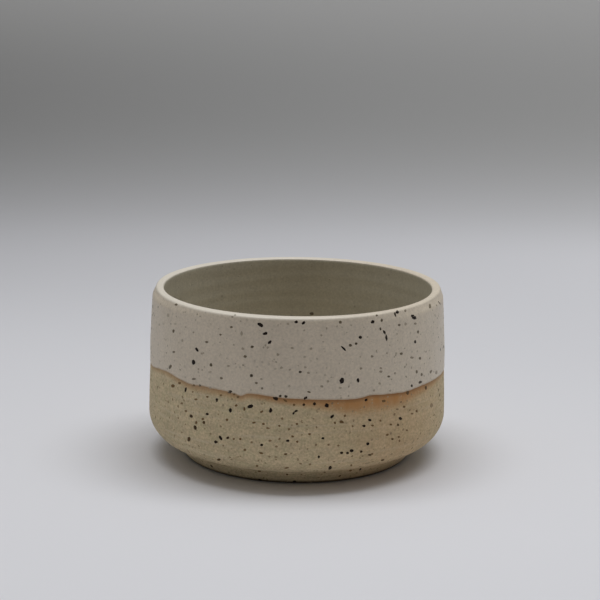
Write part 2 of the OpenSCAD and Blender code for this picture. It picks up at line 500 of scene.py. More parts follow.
inner_lean = math.degrees(
    math.atan2(lip_rise, lip_run) - math.acos((LIP_IN_R + INNER_CORNER_R) / math.hypot(lip_run, lip_rise))
)


def wall_r(up):
    """Radius of the clay's outer wall at a height."""
    t = max(up - corner_centre[1], 0) / wall_h
    return BELLY_R - (BELLY_R - wall_top[0]) * t**WALL_BOW


def dip_line(turn):
    """Height of the dipped edge at a turn."""
    return dip_line_near(round(turn, 2))


@cache
def dip_line_near(turn):
    angle = math.radians(turn)
    x = BELLY_R * math.sin(angle)
    y = -BELLY_R * math.cos(angle)
    height = LINE_Z + LINE_RISE_X * x + LINE_RISE_Y * y
    for run in RUNS:
        height -= run.drop * bell(turn_between(turn, run.turn), run.spread)
    waver = noise.noise(Vector((x * LINE_WAVER_PER_MM, y * LINE_WAVER_PER_MM, 0)))
    ripple = noise.noise(Vector((x * LINE_RIPPLE_PER_MM, y * LINE_RIPPLE_PER_MM, LINE_RIPPLE_LAYER)))
    return height + LINE_WAVER * waver + LINE_RIPPLE * ripple


@cache
def blush_near(turn):
    """Strength and reach of the orange below the dipped edge at a turn."""
    strength = BLUSH_EVERYWHERE
    reach = BLUSH_REACH
    for blush in BLUSHES:
        share = bell(turn_between(turn, blush.turn), blush.spread)
        strength += blush.strength * share
        reach += blush.reach * share
    return min(strength, 1), reach


def blush_at(turn, below):
    """How orange the clay is, from 0 to 1, so far below the dipped edge."""
    strength, reach = blush_near(round(turn, 2))
    toast = TOAST_STRENGTH * bell(turn_between(turn, TOAST_TURN), TOAST_SPREAD)
    spent = eased(below, BLUSH_FULL_TO * reach, BLUSH_GONE_AT * reach)
    return toast + (strength - toast) * (1 - spent)


class Section:
    """Half section of a turned piece: a pen that draws in millimetres, out from the axis and up."""

    def __init__(self, place):
        self.mesh = bmesh.new()
        self.skin = self.mesh.verts.layers.float.new("skin")
        self.shows = 1
        self.start = place
        self.tip = self.mesh.verts.new((place[0], 0, place[1]))

    def line(self, place, pieces=1):
        start = self.tip.co.copy()
        end = Vector((place[0], 0, place[1]))
        for step in range(1, pieces + 1):
            drawn = bmesh.ops.extrude_vert_indiv(self.mesh, verts=[self.tip])
            self.tip = drawn["verts"][0]
            self.tip.co = start.lerp(end, step / pieces)
            self.tip[self.skin] = self.shows

    def arc(self, centre, degrees, pieces):
        """Round the centre from where the pen is, turning left where degrees is above zero."""
        drawn = bmesh.ops.spin(
            self.mesh,
            geom=[self.tip],
            cent=(centre[0], 0, centre[1]),
            axis=(0, -1, 0),
            angle=math.radians(degrees),
            steps=pieces,
        )
        self.tip = next(part for part in drawn["geom_last"] if isinstance(part, bmesh.types.BMVert))

    def wall(self, low, high, grown, pieces):
        """Along the bowed outer wall, moved out by a coat."""
        for step in range(1, pieces + 1):
            up = low + (high - low) * step / pieces
            self.line((wall_r(up) + grown, up))

    def turned(self, steps):
        """The section spun into a closed piece, with its faces outwards."""
        bmesh.ops.spin(
            self.mesh,
            geom=self.mesh.verts[:] + self.mesh.edges[:],
            cent=(0, 0, 0),
            axis=(0, 0, 1),
            angle=math.tau,
            steps=steps,
            use_merge=True,
        )
        bmesh.ops.remove_doubles(self.mesh, verts=self.mesh.verts, dist=MERGED_WITHIN)
        bmesh.ops.recalc_face_normals(self.mesh, faces=self.mesh.faces)
        return self.mesh


def move_out(vert, by):
    """Moves a point straight out from the axis, or in where by is below zero."""
    scale = 1 + by / math.hypot(vert.co.x, vert.co.y)
    vert.co.x *= scale
    vert.co.y *= scale


def throw(mesh):
    """Leaves the marks of hands and wheel: rings and slow dents into the clay, and a wavy lip."""
    for vert in mesh.verts:
        out = math.hypot(vert.co.x, vert.co.y)
        up = vert.co.z
        if out < AXIS_CLEAR or up < FOOT_H:
            continue
        turn = turn_of(vert.co)
        angle = math.radians(turn)
        waver = noise.noise(Vector((math.sin(angle), math.cos(angle), up / RING_WAVER_H)))
        slow = noise.noise(Vector((vert.co.x / DENT_W, vert.co.y / DENT_W, up / DENT_H)))
        outside = out > lip_middle_r or up < FLOOR_Z
        if outside:
            ring = math.sin(math.tau * (up / RING_PITCH + turn / 360 + RING_WAVER * waver))
            inwards = RING_DEPTH * (1 + ring) / 2 + DENT_DEPTH * (1 + slow) / 2
        else:
            along = up + max(INNER_CENTRE[0] - out, 0)
            ring = math.sin(math.tau * (along / WELL_RING_PITCH + turn / 360 + WELL_RING_WAVER * waver))
            inwards = -WELL_RING_DEPTH * (1 + ring) / 2
        on_floor = not outside and up < FLOOR_Z + FLOOR_BAND
        if on_floor:
            vert.co.z += inwards
        else:
            move_out(vert, -inwards * eased(up, FOOT_H, FOOT_H + MARKS_FADE_H))
        lip = eased(up, LIP_OUT_CENTRE[1] - LIP_WAVE_H, LIP_OUT_CENTRE[1])
        wave = noise.noise(Vector((vert.co.x / LIP_WAVE_W, vert.co.y / LIP_WAVE_W, LIP_WAVE_LAYER)))
        vert.co.z -= lip * (LIP_SETTLE + LIP_WAVE * (1 + wave) / 2)


def shape_lip(mesh):
    """Rounds the lip off where it is thin, and lets its top fall outwards where it is tipped."""
    inner = LIP_IN_CENTRE[0]
    for vert in mesh.verts:
        out = math.hypot(vert.co.x, vert.co.y)
        near = eased(vert.co.z, LIP_SHAPED_FROM, LIP_SHAPED_TO)
        if out < inner or near == 0:
            continue
        turn = turn_of(vert.co)
        spare = sum(thin.spare * bell(turn_between(turn, thin.turn), thin.spread) for thin in THINS)
        move_out(vert, -spare * near * eased(out, inner, LIP_EDGE_CENTRE[0]))
        tipped = LIP_TIP * bell(turn_between(turn, LIP_TIP_TURN), LIP_TIP_SPREAD)
        vert.co.z -= tipped * near * (out - inner)


def into_scene(name, mesh, material):
    """A mesh as a smooth object of the scene, with its material."""
    data = bpy.data.meshes.new(name)
    mesh.to_mesh(data)
    mesh.free()
    for face in data.polygons:
        face.use_smooth = True
    data.materials.append(material)
    piece = bpy.data.objects.new(name, data)
    bpy.context.scene.collection.objects.link(piece)
    return piece


def finished(name, mesh, material):
    """Brings a piece drawn in millimetres to metres and puts it into the scene."""
    bmesh.ops.scale(mesh, vec=(MM, MM, MM), verts=mesh.verts)
    return into_scene(name, mesh, material)


def clay_mesh():
    """The thrown wall and floor with the turned foot."""
    pen = Section((0, RECESS_DEPTH))
    pen.line((recess_r - RECESS_FILLET, RECESS_DEPTH), pieces=12)
    pen.arc((recess_r - RECESS_FILLET, RECESS_DEPTH - RECESS_FILLET), -90, pieces=6)
    pen.line((recess_r, FOOT_ROUND))
    pen.arc((recess_r + FOOT_ROUND, FOOT_ROUND), 90, pieces=5)
    pen.line((FOOT_R, 0), pieces=4)
    pen.arc((FOOT_R, FOOT_ROUND), 90 - FOOT_FLARE, pieces=8)
    pen.line((shoulder_r, FOOT_H), pieces=6)
    pen.line((underside_end_r, underside_end_z), pieces=2)
    pen.arc(corner_centre, 90 - UNDERSIDE_RISE, pieces=30)
    pen.wall(corner_centre[1], FINE_FROM, 0, pieces=18)
    pen.wall(FINE_FROM, FINE_TO, 0, pieces=34)
    pen.wall(FINE_TO, wall_top[1], 0, pieces=10)
    pen.arc(LIP_OUT_CENTRE, 90 - LIP_LEAN, pieces=6)
    pen.line((LIP_IN_CENTRE[0], lip_z))
    pen.arc(LIP_IN_CENTRE, 90 + inner_lean, pieces=4)
    pen.line(on_circle(INNER_CENTRE, INNER_CORNER_R, inner_lean), pieces=8)
    pen.arc(INNER_CENTRE, -90 - inner_lean, pieces=12)
    pen.line((0, FLOOR_Z), pieces=8)
    mesh = pen.turned(CLAY_STEPS)
    shape_lip(mesh)
    throw(mesh)
    blush = mesh.verts.layers.float.new("blush")
    below = mesh.verts.layers.float.new("below_line")
    foot_contact_shade = mesh.verts.layers.float.new("foot_contact_shade")
    for vert in mesh.verts:
        turn = turn_of(vert.co)
        depth = dip_line(turn) - vert.co.z
        vert[below] = depth
        vert[blush] = blush_at(turn, depth)
        out = math.hypot(vert.co.x, vert.co.y)
        # Painted contact shadow on the foot's rounded edge, strongest next to the table
        round_foot = eased(out, FOOT_R - FOOT_EDGE_IN, FOOT_R + FOOT_EDGE_OUT)
        vert[foot_contact_shade] = round_foot * (1 - eased(vert.co.z, FOOT_EDGE_FULL_Z, FOOT_EDGE_GONE_Z))
    return mesh


def coat_mesh():
    """The dipped coat, from its wavy edge up over the lip, with its back sunk in the clay."""
    edge_r = wall_r(LINE_Z)
    pen = Section((edge_r - COAT_SUNK, LINE_Z))
    pen.line((edge_r, LINE_Z))
    pen.arc((edge_r, LINE_Z + COAT_T), 90, pieces=5)
    pen.wall(LINE_Z + COAT_T, lip_shoulder_foot[1] - COAT_T, COAT_T, pieces=42)
    pen.line(lip_shoulder_foot)
    pen.arc(lip_shoulder_centre, 90 - LIP_EDGE_TURN - LIP_LEAN, pieces=9)
    pen.arc(LIP_EDGE_CENTRE, LIP_EDGE_TURN, pieces=6)
    pen.line((LIP_IN_CENTRE[0], lip_z + COAT_T), pieces=4)
    pen.arc(LIP_IN_CENTRE, COAT_SEAM - 90, pieces=7)
    pen.shows = 0
    pen.line(on_circle(LIP_IN_CENTRE, LIP_IN_R - COAT_SUNK, COAT_SEAM))
    pen.arc(LIP_IN_CENTRE, 90 - COAT_SEAM, pieces=3)
    pen.line((LIP_OUT_CENTRE[0], lip_z - COAT_SUNK))
    pen.arc(LIP_OUT_CENTRE, LIP_LEAN - 90, pieces=6)
    pen.wall(wall_top[1], LINE_Z + COAT_T, -COAT_SUNK, pieces=12)
    pen.line(pen.start)
    mesh = pen.turned(COAT_STEPS)
    above = mesh.verts.layers.float.new("above_line")
    for vert in mesh.verts:
        turn = turn_of(vert.co)
        line = dip_line(turn)
        up = vert.co.z
        follow = 1 - eased(up, LINE_Z, LINE_Z + COAT_BLEND)
        vert.co.z = up + (line - LINE_Z) * follow
        if follow > 0:
            move_out(vert, wall_r(vert.co.z) - wall_r(up))
        vert[above] = vert.co.z - line
        grown = math.hypot(vert.co.x, vert.co.y) - wall_r(vert.co.z)
        if grown > 0 and follow > 0:
            thin = EDGE_THIN + (1 - EDGE_THIN) * eased(vert[above], 0, EDGE_FULL)
            move_out(vert, -grown * (1 - thin))
    shape_lip(mesh)
    throw(mesh)
    return mesh


def liner_mesh():
    """The poured coat, from the inside of the lip down over the floor."""
    seam = COAT_SEAM - LINER_LAP
    pen = Section(on_circle(LIP_IN_CENTRE, LIP_IN_R + LINER_THIN * COAT_T, seam))
    pen.tip[pen.skin] = 1
    pen.arc(LIP_IN_CENTRE, 180 - seam + inner_lean, pieces=5)
    pen.line(on_circle(INNER_CENTRE, INNER_CORNER_R - COAT_T, inner_lean), pieces=48)
    pen.arc(INNER_CENTRE, -90 - inner_lean, pieces=24)
    pen.line((0, FLOOR_Z + COAT_T), pieces=34)
    pen.shows = 0
    pen.line((0, FLOOR_Z - COAT_SUNK))
    pen.line((INNER_CENTRE[0], FLOOR_Z - COAT_SUNK), pieces=6)
    pen.arc(INNER_CENTRE, 90 + inner_lean, pieces=10)
    pen.line(on_circle(LIP_IN_CENTRE, LIP_IN_R - COAT_SUNK, 180 + inner_lean), pieces=6)
    pen.arc(LIP_IN_CENTRE, seam - 180 - inner_lean, pieces=3)
    pen.line(pen.start)
    mesh = pen.turned(LINER_STEPS)
    throw(mesh)
    return mesh


# Shader helpers
class Ramp(NamedTuple):
    """A span of values, and what its two ends are carried to."""

    low: float
    high: float
    at_low: float = 0.0
    at_high: float = 1.0


class Cloud(NamedTuple):
    """Light and dark patches: how fine, how strong and, where the axes differ, how fine on each."""

    fineness: float
    amount: float
    drawn: tuple = None


class Freckling(NamedTuple):
    """Faint fine grains: how fine, what share of the places they take, and how strong."""

    fineness: float
    share: float
    strength: float


def feed(tree, end, value):
    """Links a socket to an end, or sets the end to a plain value."""
    if isinstance(value, bpy.types.NodeSocket):
        tree.links.new(value, end)
    else:
        end.default_value = value


def add(tree, kind, sockets=None, **settings):
    """A node with its settings, and each named socket set or linked."""
    made = tree.nodes.new("ShaderNode" + kind)
    for name, value in settings.items():
        setattr(made, name, value)
    for name, value in (sockets or {}).items():
        feed(tree, made.inputs[name], value)
    return made


def blend(tree, factor, one, other, kind="MIX"):
    """Two colours mixed, and the result's socket."""
    made = add(tree, "Mix", data_type="RGBA", blend_type=kind)
    ends = {s.identifier: s for s in made.inputs}
    for name, value in (("Factor_Float", factor), ("A_Color", one), ("B_Color", other)):
        feed(tree, ends[name], value)
    return next(s for s in made.outputs if s.identifier == "Result_Color")


def maths(tree, operation, *values):
    made = add(tree, "Math", operation=operation)
    for end, value in zip(made.inputs, values):
        feed(tree, end, value)
    return made.outputs[0]


def ranged(tree, value, ramp):
    """A value carried smoothly along a ramp."""
    ends = {"From Min": ramp.low, "From Max": ramp.high, "To Min": ramp.at_low, "To Max": ramp.at_high}
    made = add(tree, "MapRange", {"Value": value, **ends}, interpolation_type="SMOOTHSTEP")
    return made.outputs["Result"]


def grey(tree, light):
    return add(tree, "CombineColor", {"Red": light, "Green": light, "Blue": light}).outputs["Color"]


def axes(tree, where):
    return add(tree, "SeparateXYZ", {"Vector": where}).outputs


def painted(tree, name):
    """A value that the points of the mesh hold."""
    return add(tree, "Attribute", attribute_name=name).outputs["Fac"]


def speckle_noise(tree, where, scale, detail=3.0):
    sockets = {"Vector": where, "Scale": scale, "Detail": detail}
    return add(tree, "TexNoise", sockets).outputs["Fac"]


def stretched(tree, where, scale):
    """The coordinates with each axis scaled, to draw a pattern out along one of them."""
    return add(tree, "Mapping", {"Vector": where, "Scale": scale}).outputs["Vector"]


def effect(name, inputs, outputs):
    """An empty node group with named ends: the tree, its input sockets and its output sockets."""
    tree = bpy.data.node_groups.new(name, "ShaderNodeTree")
    for label, kind, value in inputs:
        end = tree.interface.new_socket(label, in_out="INPUT", socket_type="NodeSocket" + kind)
        if value is not None:
            end.default_value = value
    for label, kind in outputs:
        tree.interface.new_socket(label, in_out="OUTPUT", socket_type="NodeSocket" + kind)
    return tree, tree.nodes.new("NodeGroupInput").outputs, tree.nodes.new("NodeGroupOutput").inputs


def placed(tree, group, sockets):
    """A group put to use in a tree, and its result's socket."""
    return add(tree, "Group", sockets, node_tree=group).outputs[0]


FRECKLE_WIDTH = Ramp(0.0, 1.0, at_low=0.12, at_high=0.3)
FRECKLE_EDGE = Ramp(0.0, 0.6)
WHEEL_DRAWN = (0.04, 0.04, 1.0)


def cloudiness_effect():
    """Slow light and dark patches, as a coat or clay of uneven thickness shows."""
    tree, given, wanted = effect(
        "cloudiness",
        [
            ("Vector", "Vector", None),
            ("Colour", "Color", None),
            ("Fineness", "Float", 50.0),
            ("Amount", "Float", 0.1),
        ],
        [("Colour", "Color")],
    )
    cloud = speckle_noise(tree, given["Vector"], given["Fineness"])
    swing = maths(tree, "MULTIPLY", maths(tree, "SUBTRACT", cloud, 0.5), given["Amount"])
    light = maths(tree, "ADD", 1.0, maths(tree, "MULTIPLY", swing, 2.0))
    tree.links.new(blend(tree, 1.0, given["Colour"], grey(tree, light), "MULTIPLY"), wanted["Colour"])
    return tree


def freckles_effect():
    """Many faint fine grains, a share of the cells of a random pattern."""
    tree, given, wanted = effect(
        "freckles",
        [
            ("Vector", "Vector", None),
            ("Colour", "Color", None),
            ("Grain", "Color", None),
            ("Fineness", "Float", 300.0),
            ("Share", "Float", 0.2),
            ("Strength", "Float", 0.4),
        ],
        [("Colour", "Color")],
    )
    cells = add(tree, "TexVoronoi", {"Vector": given["Vector"], "Scale": given["Fineness"]})
    lot = add(tree, "SeparateColor", {"Color": cells.outputs["Color"]}).outputs
    picked = maths(tree, "LESS_THAN", lot["Red"], given["Share"])
    width = ranged(tree, lot["Green"], FRECKLE_WIDTH)
    inside = maths(tree, "SUBTRACT", 1.0, maths(tree, "DIVIDE", cells.outputs["Distance"], width))
    soft = ranged(tree, inside, FRECKLE_EDGE)
    faint = maths(tree, "MULTIPLY", soft, maths(tree, "MULTIPLY", picked, lot["Blue"]))
    amount = maths(tree, "MULTIPLY", faint, given["Strength"])
    tree.links.new(blend(tree, amount, given["Colour"], given["Grain"]), wanted["Colour"])
    return tree


def wheel_lines_effect():
    """Fine lines round the mug, left by fingers and ribs on the wheel."""
    tree, given, wanted = effect(
        "wheel_lines",
        [("Vector", "Vector", None), ("Fineness", "Float", 700.0)],
        [("Height", "Float")],
    )
    along = stretched(tree, given["Vector"], WHEEL_DRAWN)
    fine = speckle_noise(tree, along, given["Fineness"], detail=4.0)
    tree.links.new(fine, wanted["Height"])
    return tree


cloudiness = cloudiness_effect()
freckles = freckles_effect()
wheel_lines = wheel_lines_effect()

GLAZE_TONE = tone(214, 201, 181)
GLAZE_EDGE_TONE = tone(172, 146, 114)
GLAZE_LIP_HIGHLIGHT_TONE = tone(228, 222, 209)
# The liner is the dipped glaze's colour darkened as painted shade for the inside of the cup
LINER_SHADED_TONE = tone(187, 180, 162)
CLAY_TONE = tone(205, 187, 153)
CLAY_GREEN_TONE = tone(199, 184, 149)
CLAY_PALE_TONE = tone(216, 202, 174)
BLUSH_TONE = tone(190, 138, 84)
SCORCH_TONE = tone(140, 100, 66)
GRAIN_TONE = tone(30, 18, 8)
GLAZE_VEIL_TONE = tone(114, 103, 82)
CLAY_VEIL_TONE = tone(122, 95, 61)
LINER_VEIL_TONE = tone(122, 113, 96)
# Dark brown for the turning lines on the foot and for the painted contact shadow on its edge
FOOT_MARKS_AND_SHADE_TONE = tone(62, 48, 32)
FRECKLE_TONE = tone(96, 82, 66)

# Finish of the glaze
GLAZE_CLOUDS = [
    Cloud(fineness=55.0, amount=0.07),
    Cloud(fineness=320.0, amount=0.07, drawn=(1.0, 1.0, 0.25)),
    Cloud(fineness=1300.0, amount=0.24),
]
GLAZE_FRECKLES = Freckling(fineness=420.0, share=0.22, strength=0.35)
GLAZE_EDGE = Ramp(0.0, 0.5, at_low=0.6, at_high=0.0)
GLAZE_EDGE_UNEVEN = 0.35
GLAZE_EDGE_FINENESS = 500.0
# Painted highlight on the top of the lip, strongest towards the left
LIP_HIGHLIGHT_ACROSS = Ramp(-0.01, 0.04, at_low=0.7, at_high=0.1)
LIP_HIGHLIGHT_UP = Ramp(0.0588, 0.0597)
GLAZE_ROUGHNESS = Ramp(0.3, 0.7, at_low=0.4, at_high=0.5)
GLAZE_ROUGH_FINENESS = 90.0
GLAZE_LINES = 0.6
GLAZE_LINES_FINENESS = 520.0
PEEL_FINENESS = 850.0
GLAZE_BUMP = 0.00004

# Finish of the clay
CLAY_CLOUDS = [
    Cloud(fineness=60.0, amount=0.07),
    Cloud(fineness=520.0, amount=0.2, drawn=(0.3, 0.3, 1.0)),
    Cloud(fineness=1400.0, amount=0.5),
]
CLAY_FRECKLES = Freckling(fineness=480.0, share=0.4, strength=0.6)
GREEN_PATCHES = Ramp(0.4, 0.65)
GREEN_FINENESS = 330.0
PALE_LINES = Ramp(0.5, 0.75, at_high=0.4)
STREAKS = Ramp(0.25, 0.65, at_low=0.8)
STREAK_FINENESS = 420.0
STREAK_DRAWN = (1.0, 1.0, 0.2)
SCORCH = Ramp(0.0, 1.6, at_low=1.0, at_high=0.0)
SCORCH_EVERYWHERE = 0.15
SCORCH_STRENGTH = 0.6
FOOT_SIDE = Ramp(0.0046, 0.0054, at_low=1.0, at_high=0.0)
FOOT_LINES = Ramp(0.42, 0.6, at_low=0.1, at_high=0.0)
CONTACT_SHADE_STRENGTH = 0.9
CLAY_ROUGHNESS = Ramp(0.3, 0.7, at_low=0.78, at_high=0.92)
SAND_FINENESS = 2200.0
CLAY_SHINE = 0.3
CLAY_LINES = 0.8
CLAY_LINES_FINENESS = 900.0
CLAY_BUMP = 0.00005

# Finish of the grains: a faint one is veiled, and a dark one is bare
GRAIN_CLOUDS = [Cloud(fineness=1800.0, amount=0.5)]
GRAIN_VEIL = Ramp(0.0, 0.7)
GRAIN_BARE = Ramp(0.7, 1.0)
GRAIN_SHINE = 0.2
GLAZED_GRAIN_ROUGHNESS = 0.45
CLAY_GRAIN_ROUGHNESS = 0.7


def blank(name):
    """A new material, its node tree, its Principled shader and the object's coordinates."""
    material = bpy.data.materials.new(name)
    material.use_nodes = True
    tree = material.node_tree
    shader = next(n for n in tree.nodes if n.type == "BSDF_PRINCIPLED")
    where = add(tree, "TexCoord").outputs["Object"]
    return material, tree, shader, where


def bumped(tree, height, distance):
    return add(tree, "Bump", {"Height": height, "Distance": distance, "Strength": 1.0}).outputs["Normal"]


def clouded(tree, where, colour, clouds):
    """A colour with several kinds of patches, one over the other."""
    for cloud in clouds:
        at = stretched(tree, where, cloud.drawn) if cloud.drawn else where
        sockets = {"Vector": at, "Colour": colour, "Fineness": cloud.fineness, "Amount": cloud.amount}
        colour = placed(tree, cloudiness, sockets)
    return colour


def freckled(tree, where, colour, kind):
    sockets = {"Vector": where, "Colour": colour, "Grain": opaque(FRECKLE_TONE)}
    amounts = {"Fineness": kind.fineness, "Share": kind.share, "Strength": kind.strength}
    return placed(tree, freckles, {**sockets, **amounts})


def satin_glaze(name, colour, edged):
    """Satin off-white glaze, cloudy and finely freckled.

    An edged coat is browner where it runs thin at its edge, and carries a painted highlight on the top of
    the lip, strongest towards the left.
    """
    material, tree, shader, where = blank(name)
    body = clouded(tree, where, opaque(colour), GLAZE_CLOUDS)
    if edged:
        above = painted(tree, "above_line")
        ripple = speckle_noise(tree, where, GLAZE_EDGE_FINENESS)
        uneven = maths(tree, "MULTIPLY", ripple, GLAZE_EDGE_UNEVEN)
        thin = ranged(tree, maths(tree, "SUBTRACT", above, uneven), GLAZE_EDGE)
        body = blend(tree, thin, body, opaque(GLAZE_EDGE_TONE))
        # Painted highlight: the top of the lip made paler, most towards the left
        axis = axes(tree, where)
        lip_light_side = ranged(tree, axis["X"], LIP_HIGHLIGHT_ACROSS)
        lip_highlight = maths(tree, "MULTIPLY", ranged(tree, axis["Z"], LIP_HIGHLIGHT_UP), lip_light_side)
        body = blend(tree, lip_highlight, body, opaque(GLAZE_LIP_HIGHLIGHT_TONE))
    body = freckled(tree, where, body, GLAZE_FRECKLES)
    tree.links.new(body, shader.inputs["Base Color"])
    patches = speckle_noise(tree, where, GLAZE_ROUGH_FINENESS)
    tree.links.new(ranged(tree, patches, GLAZE_ROUGHNESS), shader.inputs["Roughness"])
    lines = placed(tree, wheel_lines, {"Vector": where, "Fineness": GLAZE_LINES_FINENESS})
    peel = speckle_noise(tree, where, PEEL_FINENESS, detail=2.0)
    height = maths(tree, "ADD", maths(tree, "MULTIPLY", lines, GLAZE_LINES), peel)
    tree.links.new(bumped(tree, height, GLAZE_BUMP), shader.inputs["Normal"])
    return material


def bare_clay():
    """Unglazed buff stoneware: sandy, faintly lined by the wheel, orange below the dipped edge."""
    material, tree, shader, where = blank("bare_clay")
    patches = ranged(tree, speckle_noise(tree, where, GREEN_FINENESS), GREEN_PATCHES)
    body = blend(tree, patches, opaque(CLAY_TONE), opaque(CLAY_GREEN_TONE))
    body = clouded(tree, where, body, CLAY_CLOUDS)
    lines = placed(tree, wheel_lines, {"Vector": where, "Fineness": CLAY_LINES_FINENESS})
    body = blend(tree, ranged(tree, lines, PALE_LINES), body, opaque(CLAY_PALE_TONE))
    blush = painted(tree, "blush")
    streaks = speckle_noise(tree, stretched(tree, where, STREAK_DRAWN), STREAK_FINENESS)
    licked = maths(tree, "MULTIPLY", blush, ranged(tree, streaks, STREAKS))
    body = blend(tree, licked, body, opaque(BLUSH_TONE))
    close = ranged(tree, painted(tree, "below_line"), SCORCH)
    scorch = maths(tree, "MULTIPLY", close, maths(tree, "ADD", blush, SCORCH_EVERYWHERE))
    body = blend(tree, maths(tree, "MULTIPLY", scorch, SCORCH_STRENGTH), body, opaque(SCORCH_TONE))
    body = freckled(tree, where, body, CLAY_FRECKLES)
    foot = ranged(tree, axes(tree, where)["Z"], FOOT_SIDE)
    turned = maths(tree, "MULTIPLY", foot, ranged(tree, lines, FOOT_LINES))
    body = blend(tree, turned, body, opaque(FOOT_MARKS_AND_SHADE_TONE))
    # Painted contact shadow: the foot's edge darkened where it meets the table
    painted_contact_shade = maths(tree, "MULTIPLY", painted(tree, "foot_contact_shade"), CONTACT_SHADE_STRENGTH)
    body = blend(tree, painted_contact_shade, body, opaque(FOOT_MARKS_AND_SHADE_TONE))
    tree.links.new(body, shader.inputs["Base Color"])
    sand = speckle_noise(tree, where, SAND_FINENESS, detail=2.0)
    tree.links.new(ranged(tree, sand, CLAY_ROUGHNESS), shader.inputs["Roughness"])
    shader.inputs["Specular IOR Level"].default_value = CLAY_SHINE
    height = maths(tree, "ADD", maths(tree, "MULTIPLY", lines, CLAY_LINES), sand)
    tree.links.new(bumped(tree, height, CLAY_BUMP), shader.inputs["Normal"])
    return material


def grain_material(name, around, veil, roughness):
    """Dark mineral grain, veiled by what lies round it where it is faint."""
    material, tree, shader, where = blank(name)
    dark = painted(tree, "dark")
    mottled = clouded(tree, where, opaque(GRAIN_TONE), GRAIN_CLOUDS)
    veiled = blend(tree, ranged(tree, dark, GRAIN_VEIL), opaque(around), opaque(veil))
    body = blend(tree, ranged(tree, dark, GRAIN_BARE), veiled, mottled)
    tree.links.new(body, shader.inputs["Base Color"])
    shader.inputs["Roughness"].default_value = roughness
    shader.inputs["Specular IOR Level"].default_value = GRAIN_SHINE
    return material


# The three pieces
clay = finished("clay_cup", clay_mesh(), bare_clay())
coat = finished("dipped_coat", coat_mesh(), satin_glaze("dipped_glaze", GLAZE_TONE, edged=True))
liner = finished("poured_liner", liner_mesh(), satin_glaze("liner_glaze", LINER_SHADED_TONE, edged=False))

# Grains: lengths in millimetres, darkness up to 1
GRAIN_HEIGHT = 0.035
GRAIN_SIDES = 9
GRAIN_RINGS = 4
GRAIN_REACH = 2.0
GRAIN_SPREAD = 1.12
GRAIN_BULGES = (0.8, 1.15)
GRAIN_CLEAR = 1.7
STREWN_DARK_LEAST = 0.3
STREWN_LONG_LEAST = 0.55
STREWN_LONG_MORE = 0.95
STREWN_WIDE = (0.5, 0.95)
GLAZE_PER_MM2 = 0.024
FAINT_GLAZE_PER_MM2 = 0.09
CLAY_PER_MM2 = 0.026
FAINT_CLAY_PER_MM2 = 0.11
LINER_PER_MM2 = 0.016
FAINT_GLAZE = 0.38
FAINT_CLAY = 0.5
FRONT_GLAZE = 0.22
FRONT_CLAY = 0.4
WELL_WALL = 0.25
WELL_FLOOR = 0.7
FRONT_TURN = 68
WELL_FLOOR_H = 6
EDGE_CLEAR = 1
TABLE_CLEAR = 0.4
FACES_UP = 0.5
SLOPE_LEAST = 0.1


def surface_of(*pieces):
    """What a grain can be laid on: the pieces' faces as one searchable surface."""
    joined = bmesh.new()
    for piece in pieces:
        joined.from_mesh(piece.data)
    tree = BVHTree.FromBMesh(joined)
    joined.free()
    return tree


def sight(across, down):
    """Direction from the camera through a pixel of the photograph."""
    middle = FRAME_PX / 2
    ray = Vector(((across - middle) / FOCAL_PX, (middle - down) / FOCAL_PX, -1))
    return (camera.matrix_world.to_3x3() @ ray).normalized()


def unit_chip():
    """The plain chip that every grain starts from."""
    mesh = bmesh.new()
    mesh.verts.layers.float.new("dark")
    bmesh.ops.create_uvsphere(mesh, u_segments=GRAIN_SIDES, v_segments=GRAIN_RINGS, radius=1)
    data = bpy.data.meshes.new("unit_chip")
    mesh.to_mesh(data)
    mesh.free()
    return data


chip = unit_chip()


def rough_edge():
    """How far each side of a grain bulges."""
    return [chance.uniform(*GRAIN_BULGES) for _ in range(GRAIN_SIDES)]


def lay_grain(mesh, dark, bulges, place):
    """A low irregular chip, each of its points set on the surface that place finds."""
    layer = mesh.verts.layers.float["dark"]
    mesh.from_mesh(chip)
    mesh.verts.ensure_lookup_table()
    for vert in mesh.verts[-len(chip.vertices):]:
        side = round(math.atan2(vert.co.y, vert.co.x) / math.tau * GRAIN_SIDES) % GRAIN_SIDES
        spot, normal = place(vert.co.x * bulges[side], vert.co.y * bulges[side])
        vert.co = spot + normal * vert.co.z * GRAIN_HEIGHT * MM
        vert[layer] = dark


def seen_place(surface, grain):
    """Lays a grain where and as large as the photograph shows it."""
    start = Vector(CAMERA_PLACE)
    lean = math.radians(grain.lean)
    middle, facing, _, distance = surface.ray_cast(start, sight(grain.across, grain.down))
    far = GRAIN_REACH * max(grain.long, grain.wide) / 2 / FOCAL_PX * distance

    def place(along, beside):
        long = along * grain.long / 2 * GRAIN_SPREAD
        wide = beside * grain.wide / 2 * GRAIN_SPREAD
        across = grain.across + long * math.cos(lean) - wide * math.sin(lean)
        down = grain.down + long * math.sin(lean) + wide * math.cos(lean)
        spot, normal, _, _ = surface.ray_cast(start, sight(across, down))
        if spot is None:
            spot, normal = middle, facing
        reach = spot - middle
        if reach.length > far:
            spot, normal, _, _ = surface.find_nearest(middle + reach * (far / reach.length))
        return spot, normal

    return place


def lay_seen(mesh, surface, grains, taken):
    """Lays the grains that the photograph shows, and notes the places that they take."""
    for grain in grains:
        lay_grain(mesh, grain.dark, rough_edge(), seen_place(surface, grain))
        taken.append(surface.ray_cast(Vector(CAMERA_PLACE), sight(grain.across, grain.down))[0])


